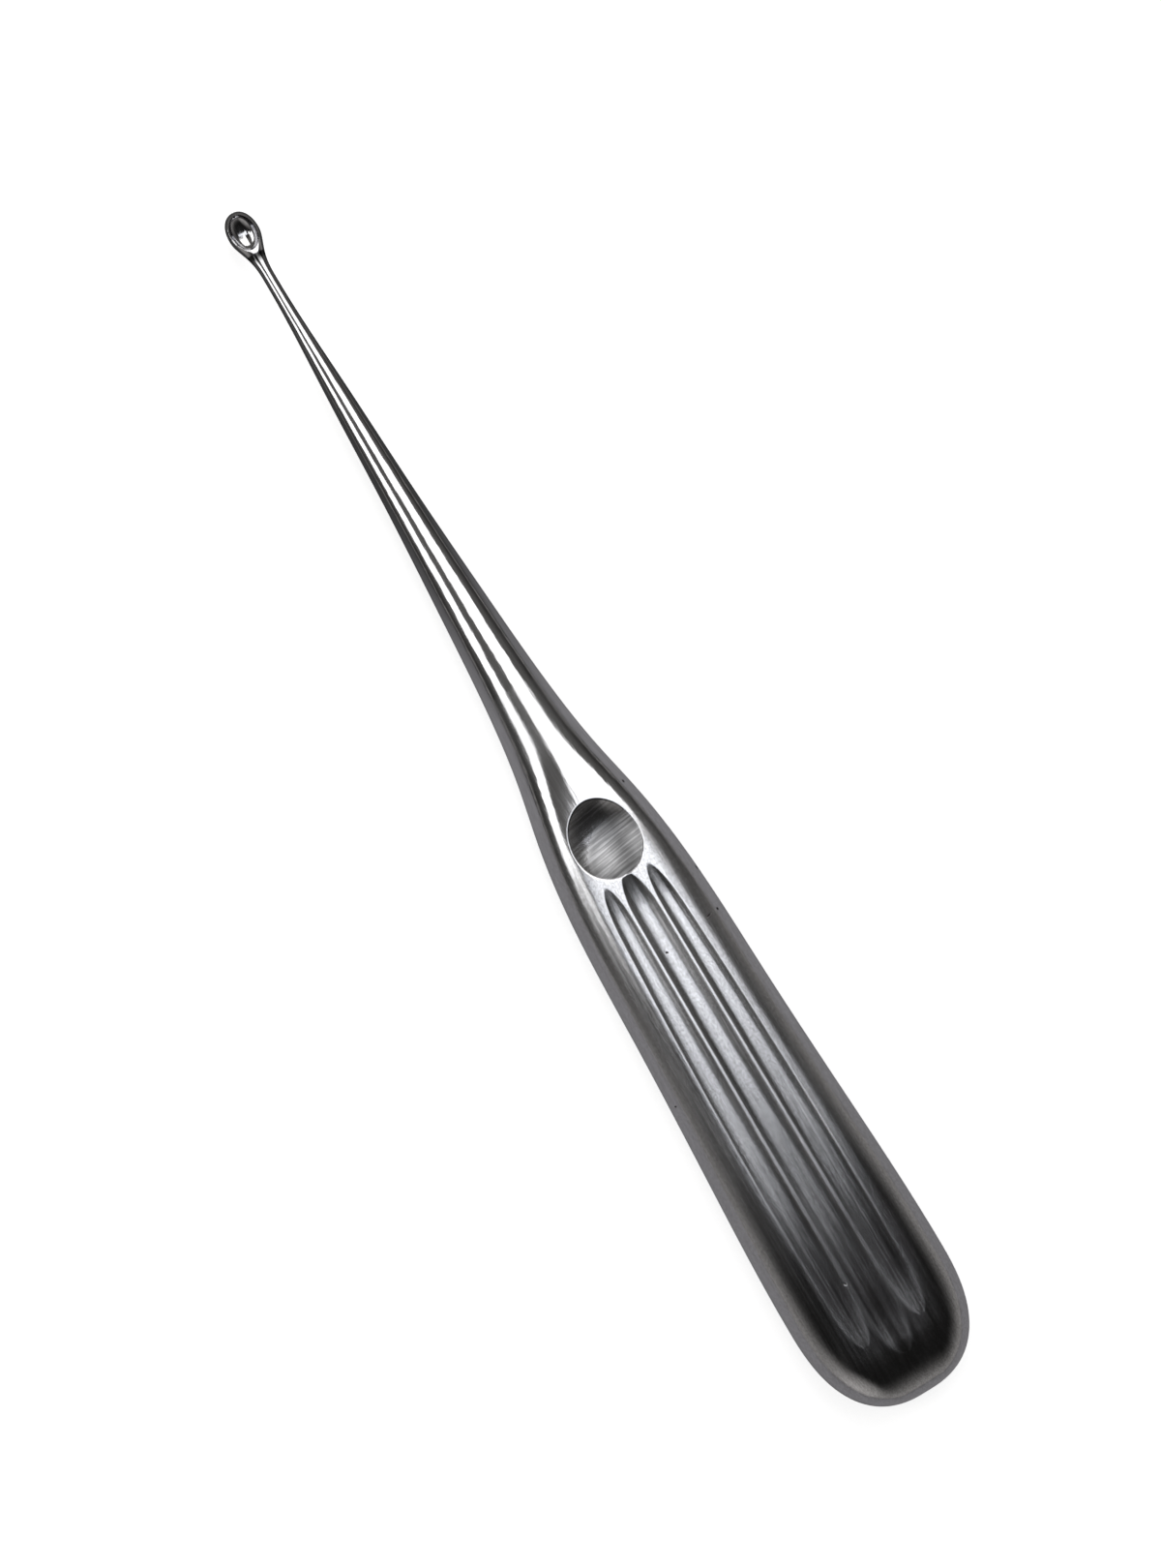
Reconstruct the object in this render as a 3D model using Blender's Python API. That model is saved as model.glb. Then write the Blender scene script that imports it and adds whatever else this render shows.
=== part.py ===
"""Bone curette, a hand instrument forged and ground from one bar of stainless steel.

A broad oval handle with flat faces is fluted on the front and the back. A hollow for the thumb is
ground across its front end. The handle draws in to a long round shaft, which tapers to a narrow
neck and opens into an oval cup with a sharp rim.

The instrument lies on the back of its handle. +X runs along it towards the cup, +Z is the side that
the cup and the thumb rest face, and the origin is on the table under the middle of its length.
A place along the instrument is called a station, and is its distance from the butt of the handle.
"""

import math

import bmesh
import bpy
import numpy as np

MM = 0.001

# Lengths along the instrument, in order from the butt of the handle to the tip of the cup.
BUTT_LENGTH = 20.0 * MM
GRIP_LENGTH = 82.0 * MM
SHOULDER_LENGTH = 29.5 * MM
SHAFT_LENGTH = 84.0 * MM
CUP_FLARE_LENGTH = 9.0 * MM
CUP_NOSE_LENGTH = 4.1 * MM

# Full widths of the outline. The handle is widest where the butt ends, and then draws in.
BUTT_WIDTH = 29.5 * MM
GRIP_REAR_WIDTH = 27.6 * MM
GRIP_FRONT_WIDTH = 25.0 * MM
THUMB_WIDTH = 22.0 * MM
SHOULDER_REAR_WIDTH = 19.0 * MM
SHOULDER_FRONT_WIDTH = 14.9 * MM
SHAFT_ROOT_WIDTH = 12.0 * MM
SHAFT_REAR_WIDTH = 8.5 * MM
SHAFT_MIDDLE_WIDTH = 5.8 * MM
SHAFT_FRONT_WIDTH = 3.85 * MM
NECK_WIDTH = 2.15 * MM
CUP_WIDTH = 5.54 * MM

# The handle in section: two flat faces with rounded sides.
HANDLE_THICKNESS = 13.0 * MM
FLAT_WIDTH = 13.0 * MM
BUTT_ROUNDING = 11.0 * MM
THICKNESS_BLEND = 3.5 * MM
BUTT_SQUARENESS = 2.5
SIDE_FULLNESS = 2.2

# The cup. Heights count from the axis of the shaft. The neck widens before it deepens, and the
# middle of the hollow lies a little nearer the tip than the cup's widest place.
CUP_DEPTH = 3.8 * MM
CUP_RISE = 0.35 * MM
RIM_HEIGHT = 1.35 * MM
HOLLOW_OFFSET = 0.15 * MM
HOLLOW_LENGTH = 6.4 * MM
HOLLOW_WIDTH = 4.34 * MM
HOLLOW_DEPTH = 2.2 * MM
NOSE_FULLNESS = 2.2
WIDENING_DELAY = 1.65
DEEPENING_DELAY = 2.1

# The thumb rest, a shallow dish in the front face where the grip ends.
THUMB_REST_OFFSET = 5.0 * MM
THUMB_REST_LENGTH = 14.1 * MM
THUMB_REST_WIDTH = 11.8 * MM
THUMB_REST_DEPTH = 1.75 * MM

# The flutes, three side by side on each face. They fan out with the handle towards the butt. The
# offsets place the side flutes' centre lines, and a narrow land stays between neighbours.
FLUTE_LAND = 0.35 * MM
FLUTE_FRONT_WIDTH = 4.45 * MM
FLUTE_REAR_WIDTH = 5.7 * MM
FLUTE_FRONT_DEPTH = 0.72 * MM
FLUTE_REAR_DEPTH = 0.45 * MM
FLUTE_FRONT_RUN_OUT = 12.0 * MM
FLUTE_REAR_RUN_OUT = 12.0 * MM
FLUTE_RUN_IN = 2.0 * MM
FLUTE_BUTT_MARGIN = 8.4 * MM
SIDE_FLUTE_FRONT_OFFSET = 4.1 * MM
SIDE_FLUTE_MIDDLE_OFFSET = 5.23 * MM
SIDE_FLUTE_REAR_OFFSET = 5.42 * MM
SIDE_FLUTE_FRONT_SETBACK = 3.0 * MM
SIDE_FLUTE_REAR_SETBACK = 4.2 * MM

# Fineness of the mesh.
SIDE_SEGMENTS = 8
BUTT_RINGS = 9
GRIP_RINGS = 8
SHOULDER_RINGS = 9
SHAFT_RINGS = 12
FLARE_RINGS = 12
NOSE_RINGS = 9
FLUTE_SIDES = 32
DISH_SEGMENTS = 48
SHARP_ANGLE = math.radians(22.0)

# Stations where one stretch ends and the next begins.
GRIP_START = BUTT_LENGTH
GRIP_END = GRIP_START + GRIP_LENGTH
SHAFT_START = GRIP_END + SHOULDER_LENGTH
NECK = SHAFT_START + SHAFT_LENGTH
CUP_MIDDLE = NECK + CUP_FLARE_LENGTH
OVERALL_LENGTH = CUP_MIDDLE + CUP_NOSE_LENGTH

AXIS_HEIGHT = HANDLE_THICKNESS / 2
HALF_THICKNESS = HANDLE_THICKNESS / 2


def smooth_curve(places, values, start_slope, end_slope):
    """Returns a function of place: the cubic spline through these values, with the slopes given at
    its two ends. Slope and curvature run on smoothly from one stretch to the next."""
    x = np.array(places)
    y = np.array(values)
    step = np.diff(x)
    rise = np.diff(y) / step
    count = len(x)
    matrix = np.zeros((count, count))
    right = np.zeros(count)
    matrix[0, :2] = (2 * step[0], step[0])
    matrix[-1, -2:] = (step[-1], 2 * step[-1])
    right[0] = 6 * (rise[0] - start_slope)
    right[-1] = 6 * (end_slope - rise[-1])
    for i in range(1, count - 1):
        matrix[i, i - 1 : i + 2] = (step[i - 1], 2 * (step[i - 1] + step[i]), step[i])
        right[i] = 6 * (rise[i] - rise[i - 1])
    bend = np.linalg.solve(matrix, right)

    def curve(place):
        i = int(np.clip(np.searchsorted(x, place) - 1, 0, count - 2))
        ahead = x[i + 1] - place
        behind = place - x[i]
        h = step[i]
        cubic = (bend[i] * ahead**3 + bend[i + 1] * behind**3) / (6 * h)
        first = (y[i] / h - bend[i] * h / 6) * ahead
        second = (y[i + 1] / h - bend[i + 1] * h / 6) * behind
        return float(cubic + first + second)

    return curve


def stretch(start, length, parts):
    """Evenly spaced stations that divide a stretch into parts, without its end."""
    return [start + length * i / parts for i in range(parts)]


OUTLINE = smooth_curve(
    stretch(GRIP_START, GRIP_LENGTH, 3)
    + stretch(GRIP_END, SHOULDER_LENGTH, 3)
    + stretch(SHAFT_START, SHAFT_LENGTH, 4)
    + [NECK],
    [
        BUTT_WIDTH / 2,
        GRIP_REAR_WIDTH / 2,
        GRIP_FRONT_WIDTH / 2,
        THUMB_WIDTH / 2,
        SHOULDER_REAR_WIDTH / 2,
        SHOULDER_FRONT_WIDTH / 2,
        SHAFT_ROOT_WIDTH / 2,
        SHAFT_REAR_WIDTH / 2,
        SHAFT_MIDDLE_WIDTH / 2,
        SHAFT_FRONT_WIDTH / 2,
        NECK_WIDTH / 2,
    ],
    start_slope=0.0,
    end_slope=0.0,
)


def round_off(share, fullness):
    """Height of a superellipse at a share of its half length, from 1 in the middle to 0 at its end."""
    return (1 - min(abs(share), 1.0) ** fullness) ** (1 / fullness)


def smooth_least(a, b, blend):
    """The smaller of two sizes, rounded off where they differ by less than the blend."""
    overlap = max(blend - abs(a - b), 0.0) / blend
    return min(a, b) - overlap**3 * blend / 6


def ease(share):
    """Runs from 0 to 1 with no slope or curvature at either end."""
    t = min(max(share, 0.0), 1.0)
    return t**3 * (t * (6 * t - 15) + 10)


def flare(station, delay):
    """How far the neck has opened into the cup, from 0 at the neck to 1 at the cup's middle. A
    greater delay keeps it slender for longer."""
    share = min(max((station - NECK) / CUP_FLARE_LENGTH, 0.0), 1.0)
    return math.sin(math.pi / 2 * share**delay) ** 2


def nose(station):
    """How full the cup still is towards its tip, from 1 at its middle to 0 at the tip."""
    return round_off(max(station - CUP_MIDDLE, 0.0) / CUP_NOSE_LENGTH, NOSE_FULLNESS)


def half_width(station):
    """Half the width of the instrument at a station."""
    if station < GRIP_START:
        return BUTT_WIDTH / 2 * round_off(1 - station / BUTT_LENGTH, BUTT_SQUARENESS)
    if station < NECK:
        return OUTLINE(station)
    width = NECK_WIDTH + (CUP_WIDTH - NECK_WIDTH) * flare(station, WIDENING_DELAY)
    return width / 2 * nose(station)


def half_height(station):
    """Half the height of the section at a station. The shaft is round, so there it is half its width."""
    if station < GRIP_START:
        share = max(1 - station / BUTT_ROUNDING, 0.0)
        return HALF_THICKNESS * round_off(share, SIDE_FULLNESS)
    if station < NECK:
        return smooth_least(HALF_THICKNESS, half_width(station), THICKNESS_BLEND)
    height = NECK_WIDTH + (CUP_DEPTH - NECK_WIDTH) * flare(station, DEEPENING_DELAY)
    return height / 2 * nose(station)


def centre_rise(station):
    """How far the middle of the section lies above the axis of the shaft."""
    return CUP_RISE * flare(station, DEEPENING_DELAY)


def flat_half_width(station):
    """Half the width of the handle's flat face, which narrows with the handle."""
    return FLAT_WIDTH / 2 * half_width(station) / (BUTT_WIDTH / 2)


def section(station):
    """One ring of points round the instrument. On the handle it is a flat face between two rounded
    sides, on the shaft and the cup an ellipse, and along the shoulders a mix of the two."""
    width = half_width(station)
    height = half_height(station)
    flat = flat_half_width(station)
    middle = AXIS_HEIGHT + centre_rise(station)
    mix = ease((station - GRIP_END) / SHOULDER_LENGTH)
    power = 2 / SIDE_FULLNESS
    quarter = []
    for i in range(SIDE_SEGMENTS + 1):
        side = math.pi / 2 * i / SIDE_SEGMENTS
        turn = math.pi / 2 * i / (SIDE_SEGMENTS + 0.5)
        oval_y = flat + (width - flat) * max(math.cos(side), 0.0) ** power
        oval_z = height * math.sin(side) ** power
        y = oval_y + (width * math.cos(turn) - oval_y) * mix
        z = oval_z + (height * math.sin(turn) - oval_z) * mix
        quarter.append((y, z))
    upper = quarter + [(-y, z) for y, z in reversed(quarter)]
    lower = [(y, -z) for y, z in reversed(upper[1:-1])]
    x = station - OVERALL_LENGTH / 2
    return [(x, y, middle + z) for y, z in upper + lower]


def ring_stations():
    """The stations of all rings, closer together where the outline turns faster."""
    rings = []
    for i in range(1, BUTT_RINGS + 1):
        angle = math.pi / 2 * i / BUTT_RINGS
        rings.append(BUTT_LENGTH * (1 - max(math.cos(angle), 0.0) ** (2 / BUTT_SQUARENESS)))
    rings += stretch(GRIP_START, GRIP_LENGTH, GRIP_RINGS)[1:]
    rings += stretch(GRIP_END, SHOULDER_LENGTH, SHOULDER_RINGS)
    rings += stretch(SHAFT_START, SHAFT_LENGTH, SHAFT_RINGS)
    rings += stretch(NECK, CUP_FLARE_LENGTH, FLARE_RINGS)
    for i in range(NOSE_RINGS):
        angle = math.pi / 2 * i / NOSE_RINGS
        rings.append(CUP_MIDDLE + CUP_NOSE_LENGTH * math.sin(angle) ** (2 / NOSE_FULLNESS))
    return rings


def loft(name, rings, start, end):
    """A closed body through rings of points that all run the same way round, with a point at each end."""
    shape = bmesh.new()
    verts = [[shape.verts.new(point) for point in ring] for ring in rings]
    count = len(rings[0])
    for near, far in zip(verts, verts[1:]):
        for i in range(count):
            j = (i + 1) % count
            shape.faces.new((near[i], near[j], far[j], far[i]))
    first = shape.verts.new(start)
    last = shape.verts.new(end)
    for i in range(count):
        j = (i + 1) % count
        shape.faces.new((first, verts[0][j], verts[0][i]))
        shape.faces.new((last, verts[-1][i], verts[-1][j]))
    bmesh.ops.recalc_face_normals(shape, faces=shape.faces)
    mesh = bpy.data.meshes.new(name)
    shape.to_mesh(mesh)
    shape.free()
    return bpy.data.objects.new(name, mesh)


def make_body(collection):
    """The whole instrument as one solid, before anything is ground into it."""
    half = OVERALL_LENGTH / 2
    rings = [section(station) for station in ring_stations()]
    start = (-half, 0.0, AXIS_HEIGHT)
    end = (half, 0.0, AXIS_HEIGHT + CUP_RISE)
    body = loft("bone_curette", rings, start, end)
    collection.objects.link(body)
    return body


def crown(station, offset):
    """Height above the axis, and outward direction across, of the handle's face at a distance from
    its middle line. Beyond the flat the face falls away along the rounded side."""
    flat = flat_half_width(station)
    height = half_height(station)
    reach = half_width(station) - flat
    share = max(abs(offset) - flat, 0.0) / reach
    fall = round_off(share, SIDE_FULLNESS)
    slope = height / reach * (share / fall) ** (SIDE_FULLNESS - 1)
    length = math.hypot(1.0, slope)
    return height * fall, math.copysign(slope, offset) / length, 1 / length


def flute_ends(lane):
    """The stations where a flute runs out, at the butt and at the thumb rest. Lane 0 is the middle
    flute, and lanes 1 and -1 are those beside it."""
    rest = GRIP_END + THUMB_REST_OFFSET - THUMB_REST_LENGTH / 2
    rear = FLUTE_BUTT_MARGIN + abs(lane) * SIDE_FLUTE_REAR_SETBACK
    front = rest + FLUTE_RUN_IN - abs(lane) * SIDE_FLUTE_FRONT_SETBACK
    return rear, front


def flute_size(lane, station):
    """How far a flute's centre line lies from the middle of the face at a station, and the flute's
    width and depth there. A side flute fills the room beside the middle one, and has the same arc."""
    rear, front = flute_ends(0)
    share = (station - rear) / (front - rear)
    width = FLUTE_REAR_WIDTH + (FLUTE_FRONT_WIDTH - FLUTE_REAR_WIDTH) * share
    depth = FLUTE_REAR_DEPTH + (FLUTE_FRONT_DEPTH - FLUTE_REAR_DEPTH) * share
    if lane == 0:
        return 0.0, width, depth
    rear, front = flute_ends(lane)
    back = (front - station) / (front - rear)
    bow = 4 * SIDE_FLUTE_MIDDLE_OFFSET - 3 * SIDE_FLUTE_FRONT_OFFSET - SIDE_FLUTE_REAR_OFFSET
    spread = SIDE_FLUTE_REAR_OFFSET - SIDE_FLUTE_FRONT_OFFSET
    offset = SIDE_FLUTE_FRONT_OFFSET + bow * back + (spread - bow) * back**2
    side_width = 2 * (offset - width / 2 - FLUTE_LAND)
    return lane * offset, side_width, depth * side_width / width


def rolled(share):
    """Depth of a flute near its end where the wheel rolled out on its own arc. The tip is round."""
    return share * (2 - share)


def lifted(share):
    """Depth of a flute near its end where the wheel was lifted out slowly. The tip is pointed."""
    return math.copysign(math.sin(math.pi / 2 * share) ** 2, share)


def run_out(length, depth_share):
    """Places along a run-out, as distances from the flute's end, with the flute's depth there as a
    share of its full depth. The first place is clear of the face."""
    shares = (-0.2, 0.1, 0.25, 0.4, 0.6, 0.8, 1.0)
    return [(share * length, depth_share(share)) for share in shares]


def flute_path(lane):
    """The path of the round cutter that leaves one flute: its centre and radius at each place. The
    centre stays square above the face, so the flute follows the rounded side."""
    rear, front = flute_ends(lane)
    stops = [(rear + place, share) for place, share in run_out(FLUTE_REAR_RUN_OUT, lifted)]
    middle = (rear + FLUTE_REAR_RUN_OUT, front - FLUTE_FRONT_RUN_OUT - rear - FLUTE_REAR_RUN_OUT)
    stops += [(station, 1.0) for station in stretch(*middle, GRIP_RINGS)[1:]]
    tip = run_out(FLUTE_FRONT_RUN_OUT, rolled)
    stops += [(front - place, share) for place, share in reversed(tip)]
    path = []
    for station, share in stops:
        offset, width, depth = flute_size(lane, station)
        radius = (width**2 / 4 + depth**2) / (2 * depth)
        height, across, up = crown(station, offset)
        lift = radius - depth * share
        path.append((station, offset + across * lift, height + up * lift, radius))
    return path


def tube_mesh(name, path, side):
    """A closed tube of changing radius along a path, as a mesh. Side is 1 above the axis of the
    instrument and -1 below it."""
    curve = bpy.data.curves.new(name, "CURVE")
    curve.dimensions = "3D"
    curve.bevel_depth = path[0][3]
    curve.bevel_resolution = FLUTE_SIDES // 2 - 2
    curve.use_fill_caps = True
    spline = curve.splines.new("POLY")
    spline.points.add(len(path) - 1)
    for point, (station, offset, height, radius) in zip(spline.points, path):
        x = station - OVERALL_LENGTH / 2
        point.co = (x, offset, AXIS_HEIGHT + side * height, 1.0)
        point.radius = radius / path[0][3]
    guide = bpy.data.objects.new(name, curve)
    bpy.context.scene.collection.objects.link(guide)
    seen = guide.evaluated_get(bpy.context.evaluated_depsgraph_get())
    mesh = bpy.data.meshes.new_from_object(seen)
    bpy.data.objects.remove(guide)
    shape = bmesh.new()
    shape.from_mesh(mesh)
    bmesh.ops.remove_doubles(shape, verts=shape.verts, dist=0.001 * MM)
    bmesh.ops.recalc_face_normals(shape, faces=shape.faces)
    shape.to_mesh(mesh)
    shape.free()
    return mesh


def add_cutter(name, mesh, collection):
    """Puts a cutter in its collection, shown as wire and never rendered."""
    cutter = bpy.data.objects.new(name, mesh)
    cutter.hide_render = True
    cutter.display_type = "WIRE"
    collection.objects.link(cutter)
    return cutter


def ellipsoid_cutter(name, centre, radii, collection):
    """A cutter made from a sphere, stretched to a radius along each direction."""
    mesh = bpy.data.meshes.new(name)
    shape = bmesh.new()
    bmesh.ops.create_uvsphere(
        shape, u_segments=DISH_SEGMENTS, v_segments=DISH_SEGMENTS - 4, radius=1.0
    )
    bmesh.ops.scale(shape, vec=radii, verts=shape.verts)
    shape.to_mesh(mesh)
    shape.free()
    cutter = add_cutter(name, mesh, collection)
    cutter.location = centre
    return cutter


def make_flute_cutters(collection):
    """One cutter for each flute, on the front and on the back."""
    cutters = []
    for face, side in (("front", 1), ("back", -1)):
        for place, lane in (("left", 1), ("middle", 0), ("right", -1)):
            name = f"{face}_{place}_flute_cutter"
            mesh = tube_mesh(name, flute_path(lane), side)
            cutters.append(add_cutter(name, mesh, collection))
    return cutters


def make_thumb_cutter(collection):
    """The dish is round in side view. Across, it is as wide as its named width where it leaves the
    rounded sides of the handle."""
    station = GRIP_END + THUMB_REST_OFFSET
    along = (THUMB_REST_LENGTH**2 / 4 + THUMB_REST_DEPTH**2) / (2 * THUMB_REST_DEPTH)
    edge_height = crown(station, THUMB_REST_WIDTH / 2)[0]
    rise = THUMB_REST_DEPTH - (HALF_THICKNESS - edge_height)
    across = THUMB_REST_WIDTH / 2 / math.sqrt(1 - (1 - rise / along) ** 2)
    x = station - OVERALL_LENGTH / 2
    z = HANDLE_THICKNESS - THUMB_REST_DEPTH + along
    return ellipsoid_cutter("thumb_rest_cutter", (x, 0.0, z), (along, across, along), collection)


def make_rim_cutter(collection):
    """A block that takes off everything above the plane of the cup's rim."""
    start = NECK
    end = OVERALL_LENGTH + CUP_NOSE_LENGTH
    mesh = bpy.data.meshes.new("rim_cutter")
    shape = bmesh.new()
    bmesh.ops.create_cube(shape, size=1.0)
    bmesh.ops.scale(shape, vec=(end - start, 2 * CUP_WIDTH, CUP_DEPTH), verts=shape.verts)
    shape.to_mesh(mesh)
    shape.free()
    cutter = add_cutter("rim_cutter", mesh, collection)
    x = (start + end) / 2 - OVERALL_LENGTH / 2
    cutter.location = (x, 0.0, AXIS_HEIGHT + RIM_HEIGHT + CUP_DEPTH / 2)
    return cutter


def make_hollow_cutter(collection):
    """The inside of the cup, which opens at the plane of the rim."""
    x = CUP_MIDDLE + HOLLOW_OFFSET - OVERALL_LENGTH / 2
    centre = (x, 0.0, AXIS_HEIGHT + RIM_HEIGHT)
    radii = (HOLLOW_LENGTH / 2, HOLLOW_WIDTH / 2, HOLLOW_DEPTH)
    return ellipsoid_cutter("hollow_cutter", centre, radii, collection)


def cut(body, cutter):
    """Takes the cutter's shape away from the body."""
    modifier = body.modifiers.new(cutter.name, "BOOLEAN")
    modifier.operation = "DIFFERENCE"
    modifier.solver = "EXACT"
    modifier.object = cutter


def finish(body):
    """Turns the cut body into a plain mesh, smooth apart from its crisp edges."""
    seen = body.evaluated_get(bpy.context.evaluated_depsgraph_get())
    mesh = bpy.data.meshes.new_from_object(seen)
    body.modifiers.clear()
    rough = body.data
    body.data = mesh
    bpy.data.meshes.remove(rough)
    mesh.name = body.name
    mesh.shade_smooth()
    mesh.set_sharp_from_angle(angle=SHARP_ANGLE)


def steel():
    """Bright stainless steel with a fine ground finish."""
    material = bpy.data.materials.new("stainless_steel")
    material.use_nodes = True
    shader = material.node_tree.nodes["Principled BSDF"]
    shader.inputs["Base Color"].default_value = (0.62, 0.62, 0.64, 1.0)
    shader.inputs["Metallic"].default_value = 1.0
    shader.inputs["Roughness"].default_value = 0.24
    return material


def new_collection(name):
    collection = bpy.data.collections.new(name)
    bpy.context.scene.collection.children.link(collection)
    return collection


def main():
    for old in list(bpy.data.objects):
        bpy.data.objects.remove(old)
    parts = new_collection("bone_curette")
    cutters = new_collection("cutters")
    body = make_body(parts)
    grinding = make_flute_cutters(cutters)
    grinding.append(make_thumb_cutter(cutters))
    grinding.append(make_rim_cutter(cutters))
    grinding.append(make_hollow_cutter(cutters))
    for cutter in grinding:
        cut(body, cutter)
    finish(body)
    body.data.materials.clear()
    body.data.materials.append(steel())


main()
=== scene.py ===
# %% [markdown]
# # A bone curette in stainless steel
#
# The real instrument is one bar of steel: a broad fluted handle with a rest for the thumb, a long
# round shaft, and a small sharp cup. This lesson builds its visible surface, finishes the steel,
# and sets it on a pale table under soft light.
#
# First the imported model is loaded. It is the fixed frame that the visible surface has to match.

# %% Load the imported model
import math

import bpy
import numpy as np
from mathutils import Matrix, Vector


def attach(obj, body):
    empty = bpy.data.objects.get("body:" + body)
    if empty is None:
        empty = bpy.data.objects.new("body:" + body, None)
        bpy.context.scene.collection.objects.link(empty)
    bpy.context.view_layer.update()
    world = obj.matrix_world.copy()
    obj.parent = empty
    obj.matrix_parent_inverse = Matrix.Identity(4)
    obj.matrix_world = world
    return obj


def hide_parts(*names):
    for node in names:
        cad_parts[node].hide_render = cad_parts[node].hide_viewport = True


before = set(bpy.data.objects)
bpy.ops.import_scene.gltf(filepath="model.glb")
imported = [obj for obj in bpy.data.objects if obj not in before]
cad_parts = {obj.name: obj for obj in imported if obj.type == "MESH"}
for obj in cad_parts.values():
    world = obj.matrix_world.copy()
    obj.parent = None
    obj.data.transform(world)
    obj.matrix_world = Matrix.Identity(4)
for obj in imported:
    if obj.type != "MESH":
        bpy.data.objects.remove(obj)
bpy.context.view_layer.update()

# %% [markdown]
# ## Sizes
#
# The curette lies along X on the back of its handle, with the cup at the positive end and its open
# side up. A place along it is a station, its distance from the butt of the handle. Everything here
# is in millimetres, because that is how such an instrument is measured. The mesh is brought to
# metres at the end.

# %% Lengths and widths, in millimetres
MM = 0.001
BUTT_LENGTH = 20.0
GRIP_LENGTH = 82.0
SHOULDER_LENGTH = 29.5
SHAFT_LENGTH = 84.0
FLARE_LENGTH = 9.0
NOSE_LENGTH = 4.1
GRIP_END = BUTT_LENGTH + GRIP_LENGTH
SHAFT_START = GRIP_END + SHOULDER_LENGTH
NECK = SHAFT_START + SHAFT_LENGTH
CUP_MIDDLE = NECK + FLARE_LENGTH
OVERALL = CUP_MIDDLE + NOSE_LENGTH

GRIP_WIDTHS = (29.5, 27.6, 25.0)
SHOULDER_WIDTHS = (22.0, 19.0, 14.9)
SHAFT_WIDTHS = (12.0, 8.5, 5.8, 3.85)
NECK_WIDTH = 2.15
CUP_WIDTH = 5.54
HANDLE_THICKNESS = 13.0
FLAT_WIDTH = 13.0
BUTT_ROUNDING = 11.0
THICKNESS_BLEND = 3.5
BUTT_SQUARENESS = 2.5
SIDE_FULLNESS = 2.2

CUP_DEPTH = 3.8
CUP_RISE = 0.35
RIM_HEIGHT = 1.35
HOLLOW_MIDDLE = CUP_MIDDLE + 0.15
HOLLOW_HALF_LENGTH = 3.2
HOLLOW_HALF_WIDTH = 2.17
HOLLOW_DEPTH = 2.2
HOLLOW_LEAN = 0.3
HOLLOW_FULLNESS = 0.30
RIM_SLOPE = 1.0
RIM_LEVEL_AT = -1.2
RIM_TURN = 1.6
RIM_LEAST = 0.05
WIDENING_DELAY = 1.65
DEEPENING_DELAY = 2.1

AXIS = HANDLE_THICKNESS / 2
print("overall length:", OVERALL)

# %% [markdown]
# ## The outline
#
# Seen from above, the real outline has no corner anywhere between the butt and the neck. A cubic
# spline through a few measured widths gives that. A subdivided cage would do as well, but it only
# comes near its points, and here each width is meant to be met. The butt is a superellipse, which
# is squarer than a circle, and the cup opens along a delayed sine.


# %% Curves that the outline is made of
def spline(places, values):
    """The cubic spline through these values that starts and ends level. On each stretch it is a
    cubic, and its bend at the joints solves the usual three-term equations."""
    x = np.array(places, float)
    y = np.array(values, float)
    step = np.diff(x)
    climb = np.diff(y) / step
    diagonal = 2 * np.concatenate(([step[0]], step[:-1] + step[1:], [step[-1]]))
    matrix = np.diag(diagonal) + np.diag(step, 1) + np.diag(step, -1)
    bend = np.linalg.solve(matrix, 6 * np.diff(np.concatenate(([0.0], climb, [0.0]))))

    def curve(place):
        i = np.clip(np.searchsorted(x, place) - 1, 0, len(x) - 2)
        ahead = x[i + 1] - place
        behind = place - x[i]
        h = step[i]
        cubic = (bend[i] * ahead**3 + bend[i + 1] * behind**3) / (6 * h)
        first = (y[i] / h - bend[i] * h / 6) * ahead
        return cubic + first + (y[i + 1] / h - bend[i + 1] * h / 6) * behind

    return curve


def round_off(share, fullness):
    """A superellipse: height = (1 - |share|^fullness)^(1/fullness). It runs from 1 in the
    middle to 0 at the end."""
    return (1 - np.clip(np.abs(share), 0.0, 1.0) ** fullness) ** (1 / fullness)


def ease(share):
    """Runs from 0 to 1 as 6 t^5 - 15 t^4 + 10 t^3, level at both ends."""
    t = np.clip(share, 0.0, 1.0)
    return t**3 * (t * (6 * t - 15) + 10)


def soft_least(a, b, blend):
    """The smaller of a and b. Where they differ by less than the blend it is lowered by
    blend/6 * (1 - |a - b|/blend)^3, which rounds the edge between them."""
    overlap = np.clip(1 - np.abs(a - b) / blend, 0.0, 1.0)
    return np.minimum(a, b) - overlap**3 * blend / 6


# %% The outline and the height of the section
knots = np.concatenate(
    (
        np.linspace(BUTT_LENGTH, GRIP_END, 4)[:-1],
        np.linspace(GRIP_END, SHAFT_START, 4)[:-1],
        np.linspace(SHAFT_START, NECK, 5),
    )
)
knot_widths = np.array(GRIP_WIDTHS + SHOULDER_WIDTHS + SHAFT_WIDTHS + (NECK_WIDTH,))
long_outline = spline(knots, knot_widths / 2)


def flare(s, delay):
    """How far the neck has opened into the cup: sin^2(pi/2 * share^delay), where the share is that
    of the flare's length. A greater delay keeps it slender for longer."""
    share = np.clip((s - NECK) / FLARE_LENGTH, 0.0, 1.0)
    return np.sin(math.pi / 2 * share**delay) ** 2


def rise(s):
    """How far the section's middle lies above the axis: it rises as the cup deepens."""
    return CUP_RISE * flare(s, DEEPENING_DELAY)


def nose(s):
    """How full the cup still is towards its tip: a superellipse quarter."""
    return round_off(np.maximum(s - CUP_MIDDLE, 0.0) / NOSE_LENGTH, SIDE_FULLNESS)


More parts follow.
